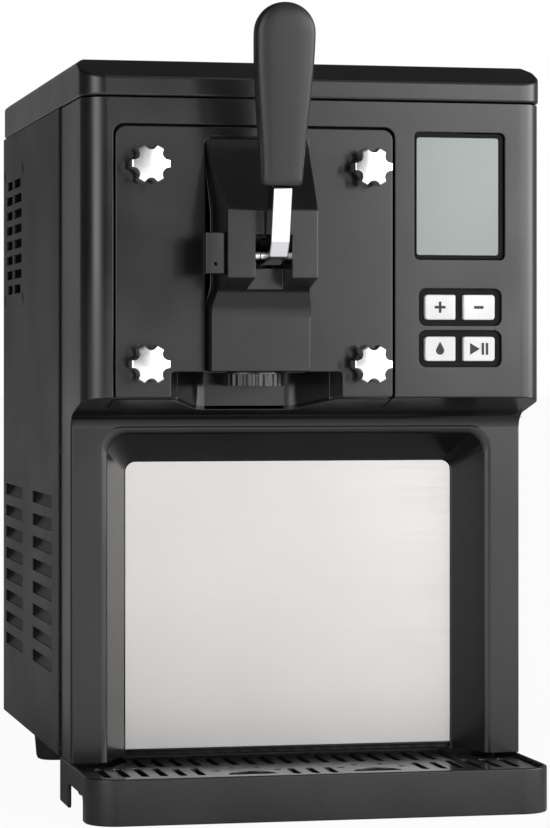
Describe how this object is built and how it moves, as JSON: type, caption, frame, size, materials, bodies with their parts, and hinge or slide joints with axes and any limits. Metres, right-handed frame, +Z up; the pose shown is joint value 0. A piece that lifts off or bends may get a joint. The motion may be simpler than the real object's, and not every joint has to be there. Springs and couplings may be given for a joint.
{
  "type": "ice cream maker",
  "caption": "Countertop soft-serve ice cream maker with a lever tap, bolted cylinder door, display, cup recess, drip tray and lift-off lid.",
  "frame": {"origin": "on the surface that the machine stands on, below the middle of its box", "axes": "+Z up, -Y the way the front looks, +X to the right of a person facing the front"},
  "size_m": [0.2694, 0.4235, 0.452],
  "materials": {
    "casing_plastic": "satin black moulding with a fine grain",
    "door_plastic": "satin black moulding",
    "grip_plastic": "satin black, fine grain",
    "tray_plastic": "satin dark grey-black moulding",
    "painted_sheet": "satin black powder coat",
    "zinc_sheet": "plain zinc-plated sheet",
    "brushed_steel": "horizontal brushed grain",
    "inner_plastic": "dark grey moulding",
    "hopper_steel": "stainless, satin",
    "white_plastic": "food-grade white",
    "display_glass": "grey-green display window, switched off",
    "button_silver": "silver-white key caps",
    "circuit_board": "green laminate",
    "rubber": "black, matt",
    "chrome": "polished chrome plating",
    "pin_plastic": "black block on a bright pin",
    "copper": "plain copper tube",
    "foam": "closed-cell foam",
    "aluminium_fins": "plain fins"
  },
  "bodies": {
    "chassis": {"front_frame": "casing_plastic", "front_bulkhead": "zinc_sheet", "left_side_panel": "painted_sheet", "right_side_panel": "painted_sheet", "rear_panel": "painted_sheet", "base_plate": "zinc_sheet", "splash_panel": "brushed_steel", "top_deck": "inner_plastic", "hopper": "hopper_steel", "display_housing": "inner_plastic", "display_lens": "display_glass", "control_board": "circuit_board", "door_stud_1": "hopper_steel", "door_stud_2": "hopper_steel", "door_stud_3": "hopper_steel", "door_stud_4": "hopper_steel", "freezing_cylinder": "hopper_steel", "evaporator_coil": "copper", "insulation_jacket": "foam", "shaft_seal": "rubber", "gearbox": "inner_plastic", "drive_motor": "zinc_sheet", "compressor": "painted_sheet", "condenser": "aluminium_fins", "fan_shroud": "inner_plastic", "fan_motor": "zinc_sheet", "discharge_line": "copper", "suction_line": "copper", "foot_front_left": "rubber", "foot_front_right": "rubber", "foot_rear_left": "rubber", "foot_rear_right": "rubber", "power_inlet": "inner_plastic"},
    "lid": {"lid": "casing_plastic"},
    "feed_tube": {"feed_tube": "white_plastic"},
    "door": {"cylinder_door": "door_plastic", "door_gasket": "rubber", "pivot_pin": "pin_plastic"},
    "lever": {"lever_arm": "chrome", "lever_grip": "grip_plastic"},
    "valve": {"valve_piston": "white_plastic", "piston_ring_lower": "rubber", "piston_ring_upper": "rubber"},
    "nozzle": {"nozzle_cap": "door_plastic"},
    "star_knob_1": {"star_knob_1": "chrome"},
    "star_knob_2": {"star_knob_2": "chrome"},
    "star_knob_3": {"star_knob_3": "chrome"},
    "star_knob_4": {"star_knob_4": "chrome"},
    "button_plus": {"button_plus": "button_silver"},
    "button_minus": {"button_minus": "button_silver"},
    "button_clean": {"button_clean": "button_silver"},
    "button_start": {"button_start": "button_silver"},
    "beater": {"beater": "white_plastic", "drive_shaft": "hopper_steel"},
    "fan": {"fan_blade": "inner_plastic"},
    "drip_tray": {"drip_tray": "tray_plastic"},
    "drip_grate": {"drip_grate": "tray_plastic"},
    "power_switch": {"power_switch": "inner_plastic"}
  },
  "joints": [
    {"name": "lid_lift", "type": "slide", "parent": "chassis", "child": "lid", "axis": [0, 0, 1], "range_m": [0, 0.08]},
    {"name": "feed_tube_lift", "type": "slide", "parent": "chassis", "child": "feed_tube", "axis": [0, 0, 1], "range_m": [0, 0.025]},
    {"name": "door_draw", "type": "slide", "parent": "chassis", "child": "door", "axis": [0, -1, 0], "range_m": [0, 0.06]},
    {"name": "lever_pull", "type": "hinge", "parent": "door", "child": "lever", "pos_m": [-0.03425, -0.1643, 0.316], "axis": [1, 0, 0], "range_deg": [0, 45]},
    {"name": "valve_lift", "type": "slide", "parent": "door", "child": "valve", "axis": [0, 0, 1], "range_m": [0, 0.03]},
    {"name": "nozzle_twist", "type": "hinge", "parent": "door", "child": "nozzle", "pos_m": [-0.0347, -0.1228, 0.2432], "axis": [0, 0, 1], "range_deg": [0, 60]},
    {"name": "knob_1_turn", "type": "hinge", "parent": "door", "child": "star_knob_1", "pos_m": [-0.0982, -0.1343, 0.3665], "axis": [0, 1, 0], "continuous": true},
    {"name": "knob_2_turn", "type": "hinge", "parent": "door", "child": "star_knob_2", "pos_m": [0.0288, -0.1343, 0.3665], "axis": [0, 1, 0], "continuous": true},
    {"name": "knob_3_turn", "type": "hinge", "parent": "door", "child": "star_knob_3", "pos_m": [-0.0982, -0.1343, 0.2553], "axis": [0, 1, 0], "continuous": true},
    {"name": "knob_4_turn", "type": "hinge", "parent": "door", "child": "star_knob_4", "pos_m": [0.0288, -0.1343, 0.2553], "axis": [0, 1, 0], "continuous": true},
    {"name": "button_plus_press", "type": "slide", "parent": "chassis", "child": "button_plus", "axis": [0, 1, 0], "range_m": [0, 0.0012], "stiffness_N_per_m": 500},
    {"name": "button_minus_press", "type": "slide", "parent": "chassis", "child": "button_minus", "axis": [0, 1, 0], "range_m": [0, 0.0012], "stiffness_N_per_m": 500},
    {"name": "button_clean_press", "type": "slide", "parent": "chassis", "child": "button_clean", "axis": [0, 1, 0], "range_m": [0, 0.0012], "stiffness_N_per_m": 500},
    {"name": "button_start_press", "type": "slide", "parent": "chassis", "child": "button_start", "axis": [0, 1, 0], "range_m": [0, 0.0012], "stiffness_N_per_m": 500},
    {"name": "beater_spin", "type": "hinge", "parent": "chassis", "child": "beater", "pos_m": [-0.0347, -0.1003, 0.302], "axis": [0, 1, 0], "continuous": true},
    {"name": "fan_spin", "type": "hinge", "parent": "chassis", "child": "fan", "pos_m": [-0.0925, 0.0707, 0.115], "axis": [1, 0, 0], "continuous": true},
    {"name": "tray_draw", "type": "slide", "parent": "chassis", "child": "drip_tray", "axis": [0, -1, 0], "range_m": [0, 0.12]},
    {"name": "grate_lift", "type": "slide", "parent": "drip_tray", "child": "drip_grate", "axis": [0, 0, 1], "range_m": [0, 0.03]},
    {"name": "switch_rock", "type": "hinge", "parent": "chassis", "child": "power_switch", "pos_m": [-0.0495, 0.2042, 0.059], "axis": [1, 0, 0], "range_deg": [-8, 0]}
  ],
  "couplings": [
    {"joint": "valve_lift", "follows": "lever_pull", "m_per_rad": 0.038}
  ]
}
